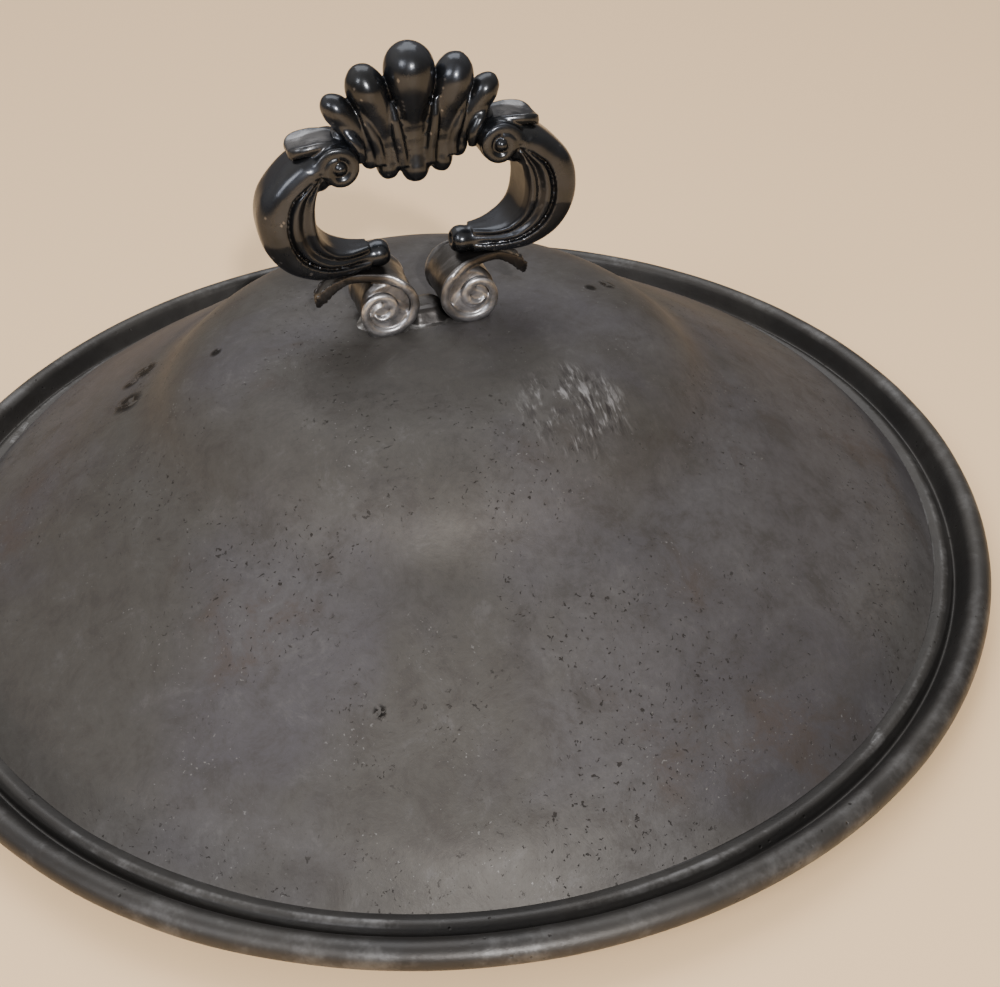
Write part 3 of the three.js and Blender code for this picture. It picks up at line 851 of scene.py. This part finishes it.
plate_piece = foot_plate()
weather(plate_piece, [(5, 0.12), (2, 0.05)])
settle(plate_piece, FOOTING, "foot_metal", "foot_pad", "foot_bridge")
fillet_piece = solder_fillet()
weather(fillet_piece, [(4, 0.2), (1.5, 0.08)])
settle(fillet_piece, SOLDER, "solder", "solder_run")


# ---------------------------------------------------------------- CAD pieces that stay
KEPT = {
    "locating_bezel": RIM,
    "crown_stiffener": SPUN,
    "rim_wire": IRON,
}
for label, _ in SIDES:
    for node in ("handle_stud", "washer", "square_nut"):
        KEPT[f"{node}_{label}"] = IRON
for node, material in KEPT.items():
    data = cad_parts[node].data
    data.materials.clear()
    data.materials.append(material)


# ---------------------------------------------------------------- camera, light, floor
def add_camera():
    """The hand-held view: from the front left, looking down on the cover."""
    azimuth, elevation, roll = math.radians(-13.86), math.radians(36.77), math.radians(-3.106)
    target = Vector((6.67, 13.84, 3.0)) * MM
    level = math.cos(elevation)
    away = Vector((math.sin(azimuth) * level, -math.cos(azimuth) * level, math.sin(elevation)))
    right = (-away).cross(Vector((0, 0, 1))).normalized()
    up = right.cross(-away)
    turned_right = math.cos(roll) * right + math.sin(roll) * up
    turned_up = -math.sin(roll) * right + math.cos(roll) * up
    data = bpy.data.cameras.new("camera")
    data.sensor_width = 36
    data.lens = 43.2
    data.shift_x = 0.0549
    data.shift_y = -0.0282
    data.clip_start = 0.01
    camera = bpy.data.objects.new("camera", data)
    turn = Matrix((turned_right, turned_up, away)).transposed().to_4x4()
    camera.matrix_world = Matrix.Translation(target + away * 339.24 * MM) @ turn
    bpy.context.scene.collection.objects.link(camera)
    bpy.context.scene.camera = camera


def add_light(name, place, size, power, colour, aim=(0, 0, 0.06)):
    data = bpy.data.lights.new(name, "AREA")
    data.shape = "RECTANGLE"
    data.size, data.size_y = size
    data.energy = power
    data.color = colour
    light = bpy.data.objects.new(name, data)
    place, aim = Vector(place), Vector(aim)
    turn = (aim - place).to_track_quat("-Z", "Y").to_matrix().to_4x4()
    light.matrix_world = Matrix.Translation(place) @ turn
    bpy.context.scene.collection.objects.link(light)


def add_world():
    """Soft warm surroundings: brighter overhead and behind, dimmer at the horizon, front and right."""
    world = bpy.data.worlds.new("studio")
    world.use_nodes = True
    nodes, links = world.node_tree.nodes, world.node_tree.links
    way = nodes.new("ShaderNodeSeparateXYZ")
    links.new(nodes.new("ShaderNodeTexCoord").outputs["Generated"], way.inputs["Vector"])
    strength = None
    ramps = (("Z", (0.0, 0.6, 0.25, 0.92)), ("Y", (-0.7, 0.4, 0.4, 1.0)), ("X", (-0.3, 0.9, 1.0, 0.6)))
    for axis, limits in ramps:
        ramp = nodes.new("ShaderNodeMapRange")
        for name, number in zip(("From Min", "From Max", "To Min", "To Max"), limits):
            ramp.inputs[name].default_value = number
        links.new(way.outputs[axis], ramp.inputs["Value"])
        if strength is None:
            strength = ramp.outputs["Result"]
            continue
        both = nodes.new("ShaderNodeMath")
        both.operation = "MULTIPLY"
        links.new(strength, both.inputs[0])
        links.new(ramp.outputs["Result"], both.inputs[1])
        strength = both.outputs["Value"]
    links.new(strength, nodes["Background"].inputs["Strength"])
    nodes["Background"].inputs["Color"].default_value = (1.0, 0.93, 0.85, 1)
    bpy.context.scene.world = world


def add_floor():
    """A wide plain table top at z = 0."""
    mesh = bpy.data.meshes.new("floor")
    half = 4.0
    corners = [(-half, -half, 0), (half, -half, 0), (half, half, 0), (-half, half, 0)]
    mesh.from_pydata(corners, [], [(0, 1, 2, 3)])
    floor = bpy.data.objects.new("floor", mesh)
    mesh.materials.append(FLOOR)
    bpy.context.scene.collection.objects.link(floor)


add_camera()
add_floor()
add_light("softbox_overhead", (0.1, 0.8, 1.45), (1.4, 1.0), 13, (0.95, 0.97, 1.0))
add_light("lamp_front", (-0.06, -1.14, 0.76), (0.06, 0.06), 18, (1.0, 0.96, 0.92))
add_light("key_left", (-1.1, -0.7, 1.1), (0.5, 0.5), 9, (0.95, 0.96, 1.0))
add_world()
